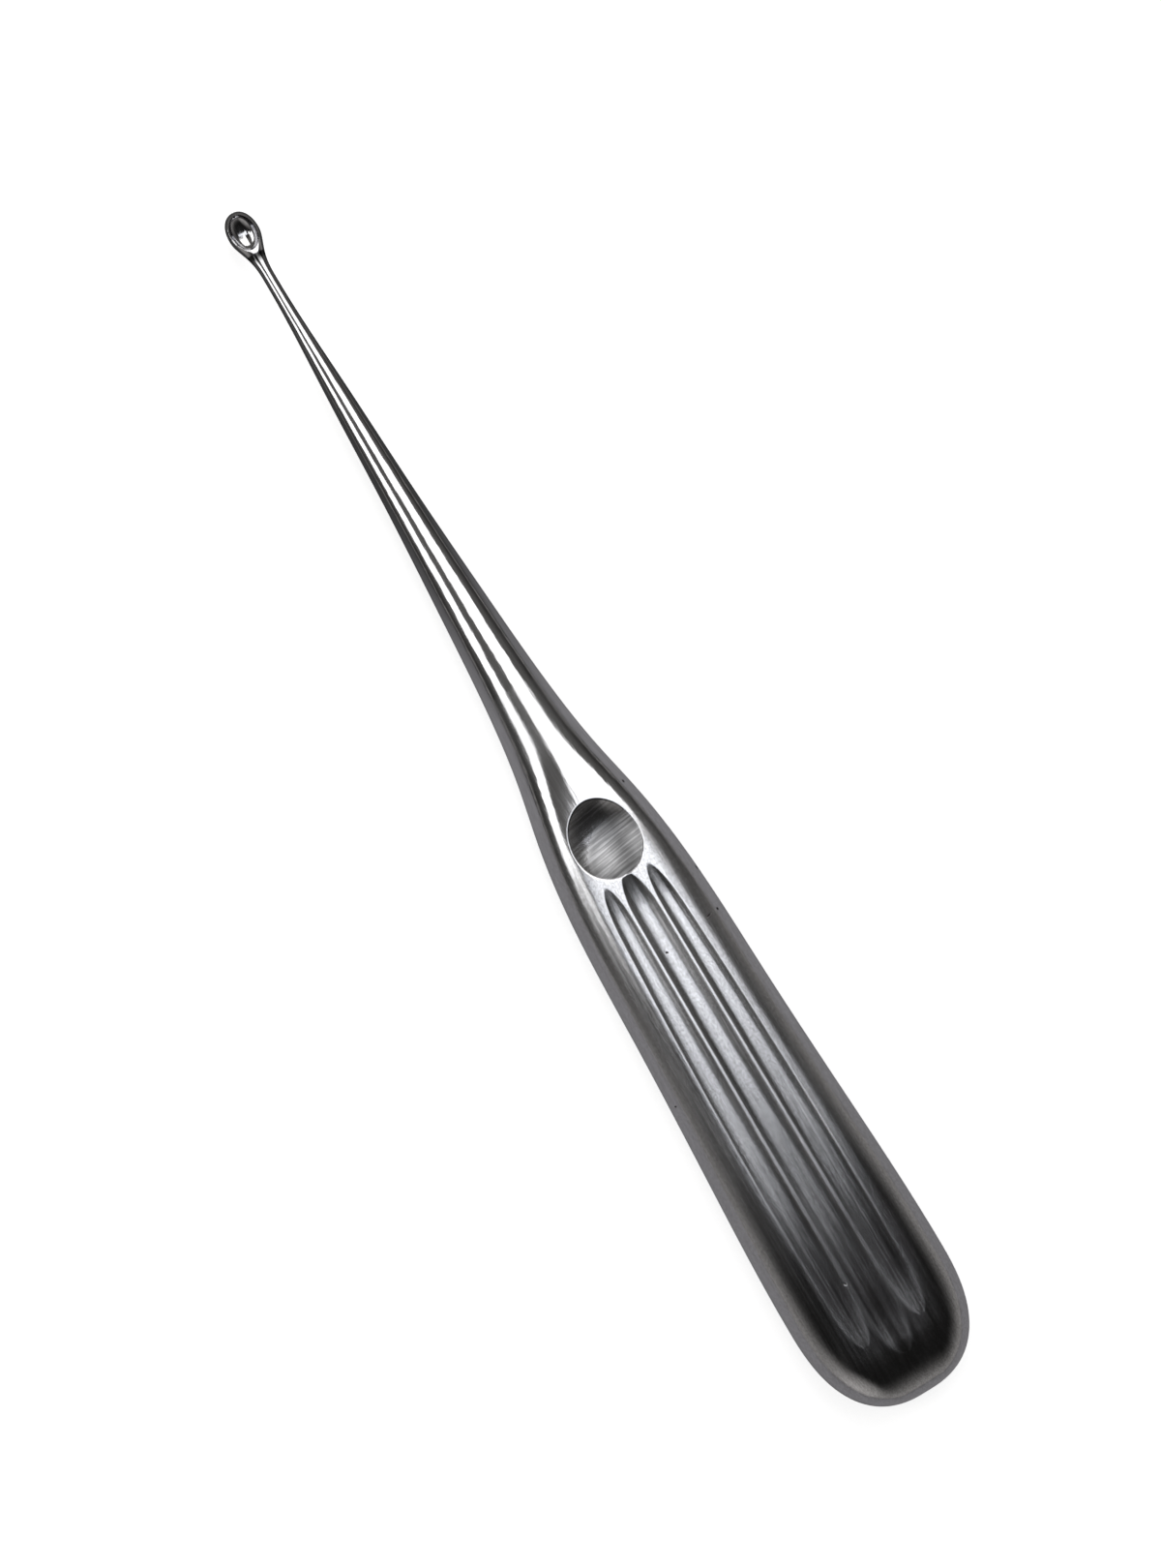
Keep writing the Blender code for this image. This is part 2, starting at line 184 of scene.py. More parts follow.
def half_width(s):
    """Half the outline's width: superellipse at the butt, then the spline, then the flaring cup."""
    butt = GRIP_WIDTHS[0] / 2 * round_off(1 - s / BUTT_LENGTH, BUTT_SQUARENESS)
    middle = long_outline(np.clip(s, BUTT_LENGTH, NECK))
    cup = (NECK_WIDTH + (CUP_WIDTH - NECK_WIDTH) * flare(s, WIDENING_DELAY)) / 2 * nose(s)
    return np.where(s < BUTT_LENGTH, butt, np.where(s < NECK, middle, cup))


def half_height(s):
    """Half the section's height: rounded at the butt, then the soft least of the handle's half
    thickness and the half width, so that the shaft is round, then the cup's own depth."""
    butt = AXIS * round_off(np.maximum(1 - s / BUTT_ROUNDING, 0.0), SIDE_FULLNESS)
    middle = soft_least(AXIS, half_width(s), THICKNESS_BLEND)
    cup = (NECK_WIDTH + (CUP_DEPTH - NECK_WIDTH) * flare(s, DEEPENING_DELAY)) / 2 * nose(s)
    return np.where(s < BUTT_LENGTH, butt, np.where(s < NECK, middle, cup))


def flat_half_width(s):
    """Half the width of the handle's flat face, which keeps its share of the outline."""
    return FLAT_WIDTH / GRIP_WIDTHS[0] * half_width(s)


def roundness(s):
    """0 where the section has flat faces, 1 where it is an ellipse."""
    return ease((s - GRIP_END) / SHOULDER_LENGTH)


def crown(s, y):
    """Height of the uncut face above the section's middle: a flat, then a superellipse quarter down
    to the side, mixed with an ellipse by the roundness."""
    flat = flat_half_width(s)
    width = half_width(s)
    oval = round_off(np.maximum(np.abs(y) - flat, 0.0) / (width - flat), SIDE_FULLNESS)
    ellipse = round_off(y / width, 2.0)
    return half_height(s) * (oval + (ellipse - oval) * roundness(s))


checks = np.array([20.0, 102.0, 131.5, 215.5, 224.5])
print("widths at", checks, "are", np.round(2 * half_width(checks), 2))

# %% [markdown]
# ## The flutes and the thumb rest
#
# A round wheel that rolls along the handle leaves each flute. Its radius follows from the flute's
# width and depth, and it rolls out at both ends, so the flute ends in a rounded tip. The thumb rest
# is ground across the handle by a ball-shaped wheel. Both are worked out as heights of a floor
# under the face, and the face is the soft least of crown and floors. Boolean cutters would leave
# knife edges, and the soft least gives the slightly polished ridges of the real handle.

# %% Flutes and thumb rest, in millimetres
LANES = (1, 0, -1)
FLUTE_LAND = 0.42
# From the rear to the front.
FLUTE_WIDTHS = (5.7, 4.45)
FLUTE_DEPTHS = (0.20, 0.55, 0.72)
FLUTE_ENDS = (8.4, 100.45)
FLUTE_SETBACKS = (4.2, 0.65)
FLUTE_RUN_OUTS = (9.0, 8.0)
# From the front to the rear.
SIDE_FLUTE_OFFSETS = (4.1, 5.23, 5.42)
RIDGE_BLEND = 0.07
REST_STATION = GRIP_END + 5.0
REST_LENGTH = 14.1
REST_WIDTH = 11.8
REST_DEPTH = 1.75
REST_BLEND = 0.12
EDGE_MARGIN = 0.5
HALVINGS = 30


def flute_ends(lane):
    """The stations where a flute runs out. Lane 0 is the middle flute, 1 and -1 those beside it."""
    rear = FLUTE_ENDS[0] + abs(lane) * FLUTE_SETBACKS[0]
    front = FLUTE_ENDS[1] - abs(lane) * FLUTE_SETBACKS[1]
    return rear, front


def flute_size(lane, s):
    """Offset of a flute's centre line, its width and its depth. The middle flute's width changes
    evenly along it, and its depth as a parabola. A side flute's offset is a parabola too, and it
    fills the room beside the middle one up to the land."""
    rear, front = flute_ends(0)
    share = np.clip((s - rear) / (front - rear), -0.1, 1.1)
    width = FLUTE_WIDTHS[0] + (FLUTE_WIDTHS[1] - FLUTE_WIDTHS[0]) * share
    shallow, half_way, deep = FLUTE_DEPTHS
    gain = 4 * half_way - 3 * shallow - deep
    depth = shallow + gain * share + (deep - shallow - gain) * share**2
    if lane == 0:
        return 0.0 * s, width, depth
    rear, front = flute_ends(lane)
    near, middle, far = SIDE_FLUTE_OFFSETS
    back = np.clip((front - s) / (front - rear), -0.1, 1.1)
    bow = 4 * middle - 3 * near - far
    offset = near + bow * back + (far - near - bow) * back**2
    side_width = 2 * (offset - width / 2 - FLUTE_LAND)
    return lane * offset, side_width, depth * side_width / width


def flute_share(lane, s):
    """The flute's depth as a share of its full depth. At both ends the wheel rolled out on its own
    arc, u * (2 - u), which gives the flute a rounded tip and falls below 0 beyond it."""
    rear, front = flute_ends(lane)
    rolled_in = np.clip((s - rear) / FLUTE_RUN_OUTS[0], -0.3, 1.0)
    rolled_out = np.clip((front - s) / FLUTE_RUN_OUTS[1], -0.3, 1.0)
    u = np.minimum(rolled_in, rolled_out)
    return u * (2 - u)


def flute_floor(s, y, lane):
    """Height of the wheel's underside above the middle of the section. The wheel is a circle of
    radius (w^2/4 + d^2) / 2d, and its centre is square above the face at the flute's offset."""
    offset, width, depth = flute_size(lane, s)
    radius = (width**2 / 4 + depth**2) / (2 * depth)
    reach = half_width(s) - flat_half_width(s)
    share = np.clip((np.abs(offset) - flat_half_width(s)) / reach, 0.0, 0.9)
    fall = round_off(share, SIDE_FULLNESS)
    slope = half_height(s) / reach * (share / fall) ** (SIDE_FULLNESS - 1)
    length = np.hypot(1.0, slope)
    lift = radius - depth * flute_share(lane, s)
    centre_y = offset + np.sign(offset) * slope / length * lift
    centre_z = half_height(s) * fall + lift / length
    inside = np.clip(1 - ((y - centre_y) / radius) ** 2, 0.0, 1.0)
    return centre_z - radius * np.sqrt(inside)


def rest_floor(s, y):
    """Height of the thumb rest's dish: the underside of an ellipsoid. It is round in side view, of
    radius (l^2/4 + d^2) / 2d, and it meets the crown at the dish's width."""
    along = (REST_LENGTH**2 / 4 + REST_DEPTH**2) / (2 * REST_DEPTH)
    edge = crown(np.array(REST_STATION), np.array(REST_WIDTH / 2))
    depth_at_edge = REST_DEPTH - (AXIS - edge)
    across = REST_WIDTH / 2 / math.sqrt(1 - (1 - depth_at_edge / along) ** 2)
    inside = np.clip(1 - ((s - REST_STATION) / along) ** 2 - (y / across) ** 2, 0.0, 1.0)
    return AXIS - REST_DEPTH + along - along * np.sqrt(inside)


def hollow_floor(s, y):
    """Height of the cup's hollow: rim - depth * (1 - r^2)^fullness * (1 - lean * u). Here r is 1 on
    the oval of the lip, and u runs from -1 at the neck's side to 1 at the tip's side. The hollow is
    flatter in the middle than an ellipsoid, and deepest towards the neck."""
    along = (s - HOLLOW_MIDDLE) / HOLLOW_HALF_LENGTH
    inside = np.clip(1 - along**2 - (y / HOLLOW_HALF_WIDTH) ** 2, 0.0, 1.0)
    return RIM_HEIGHT - HOLLOW_DEPTH * inside**HOLLOW_FULLNESS * (1 - HOLLOW_LEAN * along)


def fluted_face(s, y):
    """The face with its three flutes: the soft least of the crown and the floors of the flutes."""
    height = crown(s, y)
    for lane in LANES:
        height = soft_least(height, flute_floor(s, y, lane), RIDGE_BLEND)
    return height


def flute_edge(s, lane, side):
    """Where a flute's floor meets the crown, found by halving an interval for all stations at once.
    Side is 1 for the edge further out and -1 for the edge further in."""
    offset, width, _ = flute_size(lane, s)
    near = offset.copy()
    far = offset + side * (width / 2 + EDGE_MARGIN)
    for _ in range(HALVINGS):
        middle = (near + far) / 2
        cut = flute_floor(s, middle, lane) < crown(s, middle)
        near = np.where(cut, middle, near)
        far = np.where(cut, far, middle)
    return near


sample = np.array([20.0, 45.0, 90.0])
for lane in (0, 1):
    edges = [np.round(flute_edge(sample, lane, side), 2) for side in (-1, 1)]
    print("lane", lane, "edges", *edges)

# %% [markdown]
# ## Rows and columns
#
# The surface is one closed grid. Its rows are sections, close together where flutes, thumb rest and
# cup begin and end. Its columns run the length of the instrument, and they are led along the edges
# of the flutes and of the cup's rim and lip, so that these crisp edges lie on lines of the mesh. An
# even grid would need many more faces to show such an edge without steps.


# %% Stations of the rows
ROWS_FROM = 8.0
# The start, the end and the number of rows of each run.
HANDLE_ROWS = (
    (ROWS_FROM, 24.0, 53),
    (24.0, 94.0, 30),
    (94.0, 115.0, 131),
    (115.0, SHAFT_START, 12),
)


def even(start, end, count):
    """Evenly spaced stations from start, without the end."""
    return np.linspace(start, end, count, endpoint=False)


def crowded(start, end, count):
    """Stations crowded towards both ends: a cosine."""
    return (start + end) / 2 - (end - start) / 2 * np.cos(np.pi * np.arange(count) / count)


def rim_start_and_end():
    """The stations where the section's top passes through the plane of the rim."""
    s = np.linspace(NECK, OVERALL, 200001)
    above = rise(s) + half_height(s) > RIM_HEIGHT
    return s[np.argmax(above)], s[len(s) - 1 - np.argmax(above[::-1])]


RIM_START, RIM_END = rim_start_and_end()
HOLLOW_START = HOLLOW_MIDDLE - HOLLOW_HALF_LENGTH
HOLLOW_END = HOLLOW_MIDDLE + HOLLOW_HALF_LENGTH
butt_angle = math.acos((1 - ROWS_FROM / BUTT_LENGTH) ** (BUTT_SQUARENESS / 2))
butt_turn = np.linspace(0.0, 1.0, 19)[1:-1] * butt_angle
stations = np.concatenate(
    (
        BUTT_LENGTH * (1 - np.cos(butt_turn) ** (2 / BUTT_SQUARENESS)),
        *(even(*rows) for rows in HANDLE_ROWS),
        even(SHAFT_START, NECK, 40),
        even(NECK, RIM_START, 18),
        crowded(RIM_START, HOLLOW_START, 10),
        crowded(HOLLOW_START, HOLLOW_END, 58),
        crowded(HOLLOW_END, RIM_END, 8),
        RIM_END + (OVERALL - RIM_END) * np.sin(math.pi / 2 * np.arange(9) / 9.5),
    )
)
stations = np.unique(np.append(stations, BUTT_LENGTH))
print("rows:", len(stations), "rim from", round(RIM_START, 2), "to", round(RIM_END, 2))


# %% Columns of one face, in millimetres
FLANK_SHARE = 0.62
LEAST_HALF_LANE = 0.5
BRIM_WIDTH = 0.3
PINCH = 0.1
LIP_SHARE = 0.98
# Where a lay-out starts or ends, and the length over which it passes into the next.
LED_START = (4.0, 4.0)
LED_END = (103.4, 3.0)
ROUND_START = (113.0, 14.0)
CUP_START = (NECK, 4.0)


def turn(count):
    """Shares from 0 to 1, crowded at 0: 1 - cos."""
    return 1 - np.cos(math.pi / 2 * np.arange(count) / count)


def both(count):
    """Shares from 0 to 1, somewhat crowded at both ends."""
    t = np.arange(count) / count
    return 0.3 * t + 0.7 * (1 - np.cos(math.pi * t)) / 2


def runs(*pieces):
    """Joins runs of columns. Each run is its start, its end and the shares between them."""
    columns = [start[:, None] + (end - start)[:, None] * shares for start, end, shares in pieces]
    return np.concatenate(columns, axis=1)


def half_face_columns(s, counts, has_cup):
    """Sideways places of the columns from the side of the instrument to its middle line, for each
    station. Four lay-outs pass into each other: one is led along the flutes, one is even, one is
    round for the shaft, and one is led along the rim and the lip of the cup."""
    side, edge, flute, land, middle = counts
    width = half_width(s)
    zero = 0.0 * s
    offset = flute_size(1, s)[0]
    outer = np.maximum(flute_edge(s, 1, 1), offset + LEAST_HALF_LANE)
    inner = np.minimum(flute_edge(s, 1, -1), offset - LEAST_HALF_LANE)
    centre = np.maximum(flute_edge(s, 0, 1), LEAST_HALF_LANE)
    brim = outer + BRIM_WIDTH
    led = runs(
        (width, brim, turn(side)),
        (brim, outer, np.arange(edge) / edge),
        (outer, inner, both(flute)),
        (inner, centre, np.arange(land) / land),
        (centre, zero, turn(middle)),
    )
    outside = side + edge
    inside = flute + land + middle
    level = runs(
        (width, FLANK_SHARE * width, turn(outside)),
        (FLANK_SHARE * width, zero, np.arange(inside) / inside),
    )
    total = outside + inside
    round_about = width[:, None] * np.cos(math.pi / 2 * np.arange(total) / total)
    led_share = ease((s - LED_START[0]) / LED_START[1]) * ease((LED_END[0] - s) / LED_END[1])
    columns = level + (led - level) * led_share[:, None]
    round_share = ease((s - ROUND_START[0]) / ROUND_START[1])
    columns = columns + (round_about - columns) * round_share[:, None]
    if has_cup:
        pinch = np.minimum(PINCH, width / 2)
        section_top = half_height(s)
        above = np.clip((RIM_HEIGHT - rise(s)) / section_top, 0.0, 1.0)
        rim = np.maximum(width * np.sqrt(1 - above**2), pinch)
        along = np.clip(np.abs(s - HOLLOW_MIDDLE) / HOLLOW_HALF_LENGTH, 0.0, 1.0)
        lip = np.maximum(HOLLOW_HALF_WIDTH * np.sqrt(1 - along**2), pinch / 2)
        lip = np.minimum(lip, rim * LIP_SHARE)
        rim_angle = np.arccos(rim / width)
        wall = width[:, None] * np.cos(rim_angle[:, None] * np.arange(outside) / outside)
        rest = runs(
            (rim, lip, np.arange(edge) / edge),
            (lip, zero, turn(inside - edge)),
        )
        cup = np.concatenate((wall, rest), axis=1)
        cup_share = ease((s - CUP_START[0]) / CUP_START[1])
        columns = columns + (cup - columns) * cup_share[:, None]
    return np.concatenate((columns, zero[:, None]), axis=1)


def face_columns(s, counts, has_cup):
    """The columns of a whole face, from the +Y side to the -Y side."""
    half = half_face_columns(s, counts, has_cup)
    return np.concatenate((half, -half[:, -2::-1]), axis=1)


FRONT_COUNTS = (22, 4, 22, 9, 11)
BACK_COUNTS = (17, 3, 14, 6, 7)
front_y = face_columns(stations, FRONT_COUNTS, has_cup=True)
back_y = face_columns(stations, BACK_COUNTS, has_cup=False)
in_order = bool((np.diff(front_y) < 0).all())
print("columns:", front_y.shape[1], back_y.shape[1], "all in order:", in_order)

# %% [markdown]
# ## The surface
#
# With the places of rows and columns known, the height of every point follows in one step for the
# whole array. The front has flutes, thumb rest and cup. The back, which the picture does not show,
# has the same three flutes, as these handles do. A sculpted or subdivided mesh would need its edges
# creased by hand, and here each edge is where two heights cross.


# %% Heights, and the mesh
MAP_SCALE = 10
SHARP_ANGLE = math.radians(38.0)


def front_heights(s, y):
    """Height above the axis of the front: the soft least of the fluted face and the dish's floor,
    then, from the neck on, the least of the section's top, the rim and the hollow. The rim falls
    outwards from the lip by slope * distance. It is nearly level at the neck's +Y side and falls
    more steeply round to the tip's -Y side, as the lean u - v grows, where u runs along the hollow
    and v across it."""
    handle = soft_least(fluted_face(s, y), rest_floor(s, y), REST_BLEND)
    whole = rise(s) + crown(s, y)
    out = np.hypot((s - HOLLOW_MIDDLE) / HOLLOW_HALF_LENGTH, y / HOLLOW_HALF_WIDTH) - 1
    lean = (s - HOLLOW_MIDDLE) / HOLLOW_HALF_LENGTH - y / HOLLOW_HALF_WIDTH
    slope = RIM_SLOPE * np.clip((lean - RIM_LEVEL_AT) / RIM_TURN, RIM_LEAST, 1.0)
    rim = RIM_HEIGHT - slope * np.maximum(out, 0.0)
    cup = np.minimum(np.minimum(whole, rim), hollow_floor(s, y))
    cup = np.where(s > RIM_START, cup, whole)
    return np.where(s < SHAFT_START, handle, cup)


def back_heights(s, y):
    """Height above the axis of the back, below which the face lies upside down."""
    return rise(s) - np.where(s < GRIP_END, fluted_face(s, y), crown(s, y))


def closed_grid(name, x, y, z, start, end):
    """A mesh from a grid of points whose last column joins the first, closed by a fan at each end.
    Face (r, c) runs (r, c), (r, c+1), (r+1, c+1), (r+1, c), which turns it outwards. The map has U
    along the rows and V round the section."""
    rows, columns = x.shape
    points = np.stack((x, y, z), axis=-1).reshape(-1, 3)
    points = np.concatenate((points, [start, end])) * MM
    r = np.arange(rows - 1)[:, None]
    c = np.arange(columns)[None, :]
    ahead = (c + 1) % columns
    row, next_row = r * columns, (r + 1) * columns
    quads = np.stack((row + c, row + ahead, next_row + ahead, next_row + c), axis=-1).reshape(-1, 4)
    ring = np.arange(columns)
    following = (ring + 1) % columns
    last_ring = (rows - 1) * columns + ring
    after_last = (rows - 1) * columns + following
    start_fan = np.stack((np.full(columns, rows * columns), following, ring), axis=-1)
    end_fan = np.stack((np.full(columns, rows * columns + 1), last_ring, after_last), axis=-1)
    corners = np.concatenate((quads.ravel(), start_fan.ravel(), end_fan.ravel()))
    sizes = np.concatenate((np.full(len(quads), 4), np.full(2 * columns, 3)))
    mesh = bpy.data.meshes.new(name)
    mesh.vertices.add(len(points))
    mesh.vertices.foreach_set("co", points.ravel())
    mesh.loops.add(len(corners))
    mesh.loops.foreach_set("vertex_index", corners.astype(np.int32))
    mesh.polygons.add(len(sizes))
    mesh.polygons.foreach_set("loop_start", (np.cumsum(sizes) - sizes).astype(np.int32))
    along = points[:, 0] * MAP_SCALE
    round_share = np.concatenate((np.tile(ring / columns, rows), [0.5, 0.5]))
    v = round_share[corners]
    seam = np.zeros(len(corners), bool)
    in_quads = 4 * len(quads)
    quad_columns = np.repeat(np.tile(ring, rows - 1), 4)
    seam[:in_quads] = (quad_columns == columns - 1) & (v[:in_quads] == 0)
    flat_map = np.stack((along[corners], np.where(seam, 1.0, v)), axis=-1)
    mesh.uv_layers.new(name="along").data.foreach_set("uv", flat_map.ravel().astype(np.float32))
    mesh.update()
    mesh.validate()
    return mesh


s_front = stations[:, None] + 0.0 * front_y
s_back = stations[:, None] + 0.0 * back_y
grid_s = np.concatenate((s_front, s_back[:, 1:-1]), axis=1)
grid_y = np.concatenate((front_y, back_y[:, -2:0:-1]), axis=1)
front_z = front_heights(s_front, front_y)
back_z = back_heights(s_back, back_y)
grid_z = np.concatenate((front_z, back_z[:, -2:0:-1]), axis=1)
half_length = OVERALL / 2
mesh = closed_grid(
    "curette_surface",
    grid_s - half_length,
    grid_y,
    grid_z + AXIS,
    (-half_length, 0.0, AXIS),
    (half_length, 0.0, AXIS + CUP_RISE),
)
curette = bpy.data.objects.new("curette_surface", mesh)
bpy.context.scene.collection.objects.link(curette)
mesh.shade_smooth()
mesh.set_sharp_from_angle(angle=SHARP_ANGLE)
triangles = sum(len(face.vertices) - 2 for face in mesh.polygons)
print("triangles:", triangles)

# %% [markdown]
# ## Marks for the finishes
#
# The finishes of the real curette follow its shape: the dish is ground across, the flutes are
# ground along, and the ridges between them are rougher and carry a painted highlight in their
# colour. Three attributes on the points carry this to the material. They are worked out from the
# same heights as the surface, so each mark ends right at its edge, which a painted mask would only
# come near.


# %% Attributes, from depths in millimetres
DISH_MARK_DEPTH = 0.06
FLUTE_MARK_DEPTH = 0.1
RIDGE_MARK_DEPTH = 0.13
RIDGE_MARK_CORE = 1.2
LEAST_DEPTH = 0.001


def add_attribute(name, values):
    """Stores one number for each point of the mesh, with 0 at the two ends."""
    full = np.concatenate((values.ravel(), [0.0, 0.0])).astype(np.float32)
    mesh.attributes.new(name, "FLOAT", "POINT").data.foreach_set("value", full)
    print(name, "from", round(float(full.min()), 3), "to", round(float(full.max()), 3))


bare = fluted_face(s_front, front_y)
dish = np.zeros(grid_s.shape)
dish[:, : front_y.shape[1]] = np.clip(
    (bare - rest_floor(s_front, front_y)) / DISH_MARK_DEPTH, 0.0, 1.0
)
carved = np.zeros(grid_s.shape)
ridge = np.zeros(grid_s.shape)
for lane in LANES:
    gap = crown(grid_s, grid_y) - flute_floor(grid_s, grid_y, lane)
    inside = np.clip(gap / FLUTE_MARK_DEPTH, 0.0, 1.0)
    carved = np.maximum(carved, inside * (grid_s < GRIP_END))
    reach = RIDGE_MARK_DEPTH * np.maximum(flute_share(lane, grid_s), 0.0) + LEAST_DEPTH
    beside = np.clip(RIDGE_MARK_CORE - np.abs(gap) / reach, 0.0, 1.0)
    ridge = np.maximum(ridge, beside * (grid_s < REST_STATION))
add_attribute("thumb_rest", dish)
add_attribute("flute", carved)
add_attribute("ridge", ridge)

# %% [markdown]
# ## The steel
#
# One steel, with several finishes. The shaft and the cup are polished bright. The handle has a
# satin finish from a belt that ran along it, so it mirrors softly and is drawn into fine streaks
# along X, and the palm has worn it smoother at the butt. The ridges between the flutes are rougher
# and have a painted highlight in their colour. The thumb rest was ground across, and a patch of it
# towards the butt is rougher and darkened by painted shade. A short stretch of the shaft is ground
# finely and not polished, painted shade darkens the neck behind the cup, and the front has a few
# small nicks.
#
# An image laid over the surface could show all this. Noise that is stretched along the direction of
# the work needs no image, stays sharp from close by, and moves roughness, colour and relief
# together, as grinding does.


# %% Helpers for materials
def add_node(tree, kind, **values):
    """Adds a node. Keys are its inputs' names with _ for a space, or its own settings."""
    node = tree.nodes.new(kind)
    for key, value in values.items():
        name = key.replace("_", " ")
        if name in node.inputs:
            node.inputs[name].default_value = value
        else:
            setattr(node, key, value)
    return node


def join(tree, source, target, output=0, name=0):
    """Links an output of one node to an input of another."""
    tree.links.new(source.outputs[output], target.inputs[name])


def feed(tree, value, node, name):
    """Gives an input a number, or the first output of another node."""
    if isinstance(value, (int, float)):
        node.inputs[name].default_value = value
    else:
        join(tree, value, node, 0, name)


def arithmetic(tree, operation, a, b, clamp=False):
    """A Math node. Each of a and b is a number or a node."""
    node = add_node(tree, "ShaderNodeMath", operation=operation, use_clamp=clamp)
    feed(tree, a, node, 0)
    feed(tree, b, node, 1)
    return node


def remap(tree, source, low, high, to_low, to_high, smooth=False, output=0):
    """Maps a range onto another, held at its ends."""
    node = add_node(tree, "ShaderNodeMapRange", clamp=True)
    node.interpolation_type = "SMOOTHSTEP" if smooth else "LINEAR"
    values = (low, high, to_low, to_high)
    for name, value in zip(("From Min", "From Max", "To Min", "To Max"), values):
        node.inputs[name].default_value = value
    join(tree, source, node, output, "Value")
    return node


def blend(tree, mask, a, b):
    """a where the mask is 0 and b where it is 1. Each of the three is a number or a node."""
    node = add_node(tree, "ShaderNodeMix", data_type="FLOAT")
    feed(tree, mask, node, "Factor")
    feed(tree, a, node, 2)
    feed(tree, b, node, 3)
    return node


def colour_blend(tree, mask, a, b):
    """Colour a where the mask is 0 and b where it is 1. Colour a may be an earlier blend."""
    node = add_node(tree, "ShaderNodeMix", data_type="RGBA")
    join(tree, mask, node, 0, "Factor")
    node.inputs["B"].default_value = b
    if isinstance(a, tuple):
        node.inputs["A"].default_value = a
    else:
        join(tree, a, node, "Result", "A")
    return node


def split_place(tree, output):
    """The place of a point, by itself and as its three parts."""
    place = add_node(tree, "ShaderNodeTexCoord")
    parts = add_node(tree, "ShaderNodeSeparateXYZ")
    join(tree, place, parts, output, "Vector")
    return place, parts


def mark(tree, name):
    """The number that an attribute of the mesh stores, held between 0 and 1."""
    stored = add_node(tree, "ShaderNodeAttribute", attribute_name=name)
    return remap(tree, stored, 0.0, 1.0, 0.0, 1.0, output="Fac")


def streaks(tree, place, scale, angle=0.0, detail=4.0):
    """Noise that is stretched by giving each axis its own scale, in features per metre, after a
    turn about Z."""
    lengths = tuple(1 / features for features in scale)
    mapping = add_node(
        tree, "ShaderNodeMapping", vector_type="TEXTURE", Scale=lengths, Rotation=(0.0, 0.0, angle)
    )
    join(tree, place, mapping, "Object", "Vector")
    noise = add_node(tree, "ShaderNodeTexNoise", Scale=1.0, Detail=detail, Roughness=0.6)
    join(tree, mapping, noise, "Vector", "Vector")
    return noise


def spots(tree, place, marks):
    """1 in the middle of small marks and 0 outside them. A mark is its middle, its turn and its
    half sizes. With p for the stretched distance, it falls evenly from 1 to 0 as p goes from 0.55
    to 1, and the greatest of all marks counts."""
    total = 0.0
    for middle, angle, half_sizes in marks:
        shift = add_node(tree, "ShaderNodeMapping", vector_type="TEXTURE", Location=middle)
        shift.inputs["Rotation"].default_value = (0.0, 0.0, angle)
        shift.inputs["Scale"].default_value = half_sizes
        join(tree, place, shift, "Object", "Vector")
        length = add_node(tree, "ShaderNodeVectorMath", operation="LENGTH")
        join(tree, shift, length, "Vector", 0)
        near = remap(tree, length, 0.55, 1.0, 1.0, 0.0, output="Value")
        total = arithmetic(tree, "MAXIMUM", total, near)
    return total


# %% Where the finishes lie, how rough they are and what colours they have
PIXEL = 0.1619


def place_of(k, side):
    """The point in metres on the front at k photo pixels from the tip and at millimetres to the +Y
    side of the middle line."""
    return ((OVERALL / 2 - PIXEL * k) * MM, side * MM, HANDLE_THICKNESS * MM)


# Each of these is a stretch of X in metres, over which one finish passes into the next.
WORN_BUTT_END = (-0.100, -0.060)
SATIN_END = (-0.013, 0.006)
FINE_GRIND_START = (0.006, 0.012)
FINE_GRIND_END = (0.0216, 0.0222)
# Where painted shade darkens the neck behind the cup.
NECK_SHADE_START = (0.1042, 0.1060)
NECK_SHADE_END = (0.1063, 0.1066)

# Features per metre along X, Y and Z.
FINE_STREAKS = (35.0, 4200.0, 4200.0)
WIDE_STREAKS = (16.0, 1300.0, 1300.0)
WIDE_SHARE = 0.55
CROSS_STREAKS = (2600.0, 90.0, 90.0)
CROSS_ANGLE = math.radians(8.0)
CLOUDS = (45.0, 260.0, 260.0)
SPECKLES = (2200.0, 3600.0, 3600.0)
NOISE_RANGE = (0.3, 0.7)

POLISHED_ROUGHNESS = 0.115
CROWN_ROUGHNESS = 0.20
FLUTE_ROUGHNESS = 0.21
RIDGE_ROUGHNESS = 0.27
DISH_ROUGHNESS = 0.22
DISH_PATCH_ROUGHNESS = 0.40
FINE_GRIND_ROUGHNESS = 0.07
NICK_ROUGHNESS = 0.3
LEAST_ROUGHNESS = 0.07
WORN_SHARE = 0.68

STEEL_DARK = (0.52, 0.515, 0.52, 1.0)
STEEL_BRIGHT = (0.72, 0.72, 0.74, 1.0)
# Painted shade: the colour of a patch of the thumb rest towards the butt.
DISH_PAINTED_SHADE_COLOUR = (0.28, 0.28, 0.285, 1.0)
# Painted shade on the neck behind the cup.
NECK_SHADE_COLOUR = (0.06, 0.06, 0.06, 1.0)
NICK_COLOUR = (0.07, 0.065, 0.065, 1.0)

NICKS = (
    (place_of(710, -7.8), 0.2, (0.00040, 0.00026, 0.0065)),
    (place_of(873, -8.6), 0.25, (0.00022, 0.00065, 0.0065)),
    (place_of(872, -10.5), 0.0, (0.00036, 0.00024, 0.0080)),
    (place_of(825, -11.2), 0.1, (0.00060, 0.00018, 0.0090)),
    (place_of(1025, 12.2), 0.5, (0.00022, 0.00022, 0.0120)),
    (place_of(884, 0.6), 0.9, (0.00034, 0.00020, 0.0065)),
    (place_of(1268, 3.1), 0.4, (0.00034, 0.00022, 0.0065)),
)
